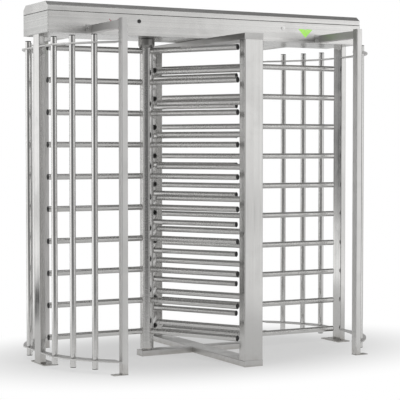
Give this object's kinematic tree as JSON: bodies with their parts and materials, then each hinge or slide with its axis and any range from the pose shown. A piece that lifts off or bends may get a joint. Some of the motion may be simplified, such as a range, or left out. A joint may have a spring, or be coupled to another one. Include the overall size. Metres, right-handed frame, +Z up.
{
  "type": "full height turnstile",
  "caption": "Two-rotor full height turnstile in stainless tube: barred wings that pass between fixed combs, curved guard cages and a long lidded header over both lanes.",
  "frame": {"origin": "on the floor, at the middle of the floor frame and under the middle of the header", "axes": "+X along the header, from the left rotor to the right one; +Y from the front to the back; +Z up"},
  "size_m": [2.34, 1.498, 2.3],
  "materials": {
    "header_steel": "satin stainless sheet",
    "frame_steel": "satin stainless box section, grain along its length",
    "tube_steel": "polished stainless tube, fine grain round its length",
    "cap_plastic": "black moulded plastic",
    "seal_rubber": "black foam rubber",
    "lock_black": "black lock body",
    "bright_steel": "bright turned steel",
    "machined_steel": "machined and zinc plated steel",
    "bush_brass": "bearing bronze",
    "solenoid_black": "black moulded plastic",
    "box_paint": "grey powder coat",
    "signal_plastic": "dark board with lamps"
  },
  "bodies": {
    "frame": {"arm_bolts": "bright_steel", "beam_end_plates": "frame_steel", "bearing_housings": "machined_steel", "comb_bars_back": "tube_steel", "comb_bars_front": "tube_steel", "comb_end_caps": "cap_plastic", "comb_post_back": "frame_steel", "comb_post_front": "frame_steel", "control_box": "box_paint", "end_post_left": "frame_steel", "end_post_right": "frame_steel", "floor_beam_left": "frame_steel", "floor_beam_right": "frame_steel", "floor_cross_beam": "frame_steel", "floor_pivots": "bright_steel", "floor_plates": "frame_steel", "guard_arms": "frame_steel", "guard_post_back_left": "frame_steel", "guard_post_back_right": "frame_steel", "guard_post_front_left": "frame_steel", "guard_post_front_right": "frame_steel", "guard_rings_left": "tube_steel", "guard_rings_right": "tube_steel", "guard_tubes_left": "tube_steel", "guard_tubes_right": "tube_steel", "header_case": "header_steel", "header_end_plates": "header_steel", "lid_hinge_pins": "bright_steel", "lid_seal": "seal_rubber", "lock_housings": "lock_black", "lock_solenoids": "solenoid_black", "mechanism_plates": "machined_steel", "position_sensors": "solenoid_black", "power_supply": "box_paint", "shaft_bearings": "machined_steel", "signal_boards": "signal_plastic", "top_cross_beam": "frame_steel"},
    "left_rotor": {"rotor_left_bush": "bush_brass", "rotor_left_caps": "cap_plastic", "rotor_left_locking_disc": "machined_steel", "rotor_left_tube": "tube_steel", "rotor_left_wing_a": "tube_steel", "rotor_left_wing_b": "tube_steel", "rotor_left_wing_c": "tube_steel"},
    "right_rotor": {"rotor_right_bush": "bush_brass", "rotor_right_caps": "cap_plastic", "rotor_right_locking_disc": "machined_steel", "rotor_right_tube": "tube_steel", "rotor_right_wing_a": "tube_steel", "rotor_right_wing_b": "tube_steel", "rotor_right_wing_c": "tube_steel"},
    "lid": {"header_lid": "header_steel", "lid_hinge_leaves": "bright_steel", "lid_hooks": "bright_steel"},
    "lid_lock_left": {"lid_lock_left": "bright_steel"},
    "lid_lock_right": {"lid_lock_right": "bright_steel"},
    "lock_bolt_left_inner": {"lock_bolt_left_inner": "bright_steel"},
    "lock_bolt_left_outer": {"lock_bolt_left_outer": "bright_steel"},
    "lock_bolt_right_inner": {"lock_bolt_right_inner": "bright_steel"},
    "lock_bolt_right_outer": {"lock_bolt_right_outer": "bright_steel"}
  },
  "joints": [
    {"name": "left_rotor_turn", "type": "hinge", "parent": "frame", "child": "left_rotor", "pos_m": [-0.388, 0, 0], "axis": [0, 0, 1], "continuous": true},
    {"name": "right_rotor_turn", "type": "hinge", "parent": "frame", "child": "right_rotor", "pos_m": [0.388, 0, 0], "axis": [0, 0, 1], "continuous": true},
    {"name": "lid_open", "type": "hinge", "parent": "frame", "child": "lid", "pos_m": [0, 0.2175, 2.2395], "axis": [-1, 0, 0], "range_deg": [0, 95]},
    {"name": "left_lid_lock_turn", "type": "hinge", "parent": "frame", "child": "lid_lock_left", "pos_m": [-0.5415, -0.2, 2.196], "axis": [0, 1, 0], "range_deg": [0, 90]},
    {"name": "right_lid_lock_turn", "type": "hinge", "parent": "frame", "child": "lid_lock_right", "pos_m": [0.5415, -0.2, 2.196], "axis": [0, -1, 0], "range_deg": [0, 90]},
    {"name": "left_outer_bolt_slide", "type": "slide", "parent": "frame", "child": "lock_bolt_left_outer", "axis": [1, 0, 0], "range_m": [0, 0.014], "stiffness_N_per_m": 300},
    {"name": "left_inner_bolt_slide", "type": "slide", "parent": "frame", "child": "lock_bolt_left_inner", "axis": [-1, 0, 0], "range_m": [0, 0.014], "stiffness_N_per_m": 300},
    {"name": "right_outer_bolt_slide", "type": "slide", "parent": "frame", "child": "lock_bolt_right_outer", "axis": [-1, 0, 0], "range_m": [0, 0.014], "stiffness_N_per_m": 300},
    {"name": "right_inner_bolt_slide", "type": "slide", "parent": "frame", "child": "lock_bolt_right_inner", "axis": [1, 0, 0], "range_m": [0, 0.014], "stiffness_N_per_m": 300}
  ]
}
